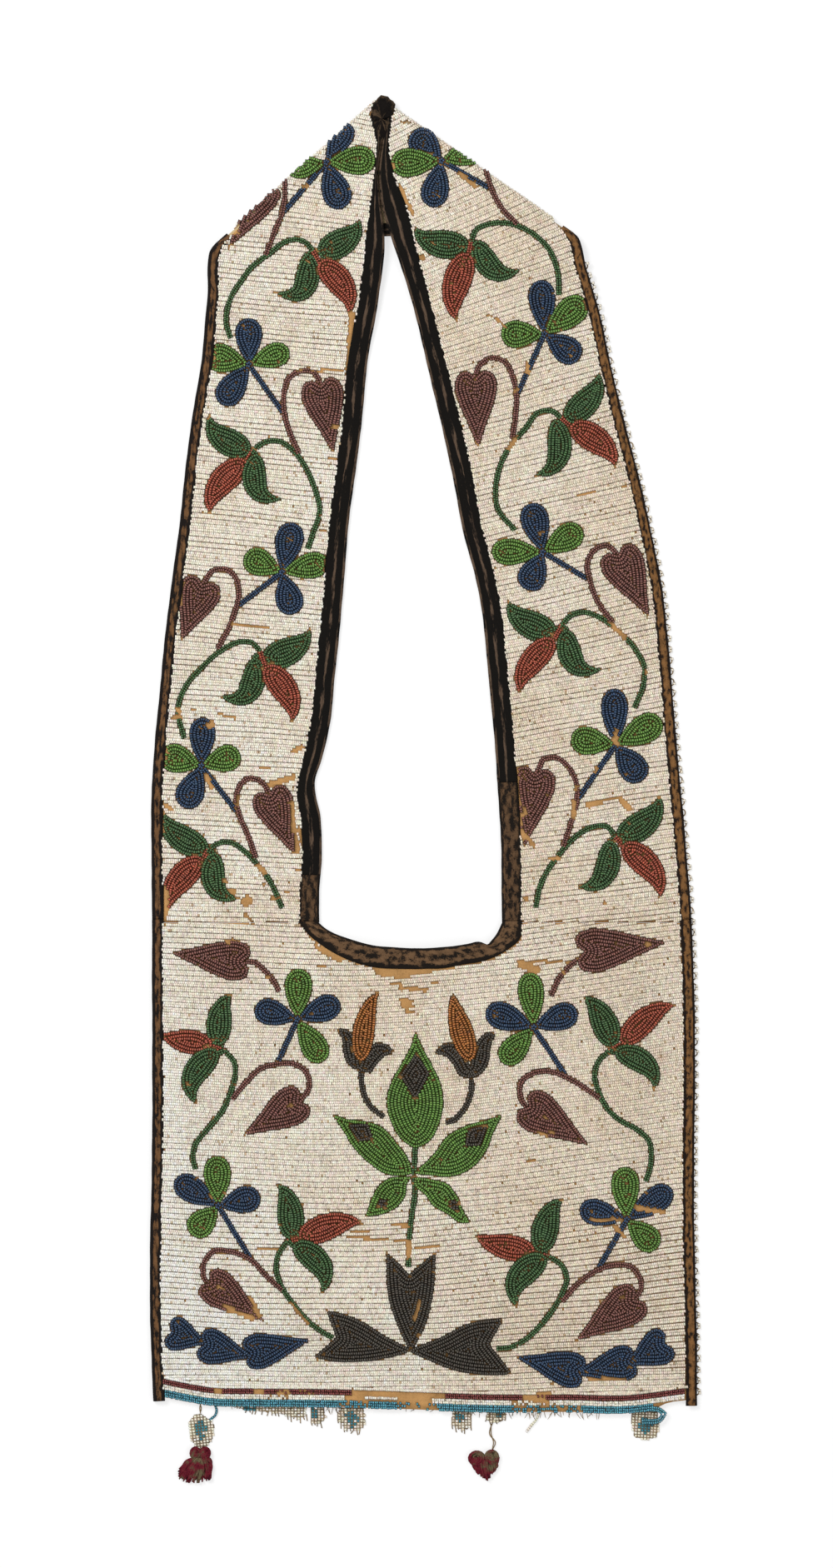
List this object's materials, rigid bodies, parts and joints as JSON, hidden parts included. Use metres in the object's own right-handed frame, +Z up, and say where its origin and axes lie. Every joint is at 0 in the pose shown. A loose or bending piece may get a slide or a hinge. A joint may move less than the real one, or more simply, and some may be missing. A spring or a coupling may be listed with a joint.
{
  "type": "bandolier bag",
  "caption": "Beaded bandolier bag with a wide folded shoulder strap, floral beadwork on a white ground and a worn fringe.",
  "frame": {"origin": "under the middle of the bag's outline, on the plane that it lies on", "axes": "+Y towards the strap's fold, +Z up out of the beaded face, +X to the right seen from above"},
  "size_m": [0.3845, 0.9659, 0.0134],
  "materials": {
    "lining_cloth": "woven matt",
    "ochre_cloth": "woven matt",
    "white_beads": "satin, opaque",
    "black_velvet": "worn pile",
    "brown_velvet": "worn pile",
    "tan_ribbon": "worn pile",
    "dark_red_beads": "gloss",
    "turquoise_beads": "satin, opaque",
    "tab_beads": "satin, opaque",
    "floral_beads": "gloss",
    "wool": "matt yarn",
    "thread": "matt thread"
  },
  "bodies": {
    "root": {"strap_cloth": "lining_cloth", "pouch_back_cloth": "lining_cloth", "pouch_front_cloth": "ochre_cloth", "strap_beadwork": "white_beads", "pouch_beadwork": "white_beads", "white_rows_left": "white_beads", "white_rows_middle": "white_beads", "white_rows_right": "white_beads", "right_picot_edging": "white_beads", "bead_string": "white_beads", "left_outer_binding": "black_velvet", "crossing_binding": "black_velvet", "left_inner_binding": "black_velvet", "right_inner_binding_upper": "black_velvet", "apex_binding": "black_velvet", "right_inner_binding_lower": "brown_velvet", "mouth_binding": "brown_velvet", "right_outer_binding": "tan_ribbon", "red_rows_left": "dark_red_beads", "red_rows_right": "dark_red_beads", "turquoise_rows": "turquoise_beads", "left_tab_bead_loop": "turquoise_beads", "left_hanging_tab": "tab_beads", "torn_tab_1": "tab_beads", "torn_tab_2": "tab_beads", "torn_tab_3": "tab_beads", "torn_tab_4": "tab_beads", "torn_tab_5": "tab_beads", "right_tab": "tab_beads", "left_strap_spray_1": "floral_beads", "left_strap_spray_2": "floral_beads", "left_strap_spray_3": "floral_beads", "left_strap_spray_4": "floral_beads", "right_strap_spray_1": "floral_beads", "right_strap_spray_2": "floral_beads", "right_strap_spray_3": "floral_beads", "right_strap_spray_4": "floral_beads", "left_pouch_spray_1": "floral_beads", "left_pouch_spray_2": "floral_beads", "right_pouch_spray_1": "floral_beads", "right_pouch_spray_2": "floral_beads", "left_top_heart_leaf": "floral_beads", "left_heart_leaf_sprig": "floral_beads", "right_heart_leaf_sprig": "floral_beads", "middle_plant": "floral_beads", "charcoal_leaves": "floral_beads", "left_tulip": "floral_beads", "right_tulip": "floral_beads", "left_blue_heart_leaves": "floral_beads", "right_blue_heart_leaves": "floral_beads", "left_tassel": "wool", "right_tassel": "wool", "left_tab_thread": "thread", "right_tassel_thread": "thread"}
  },
  "joints": []
}
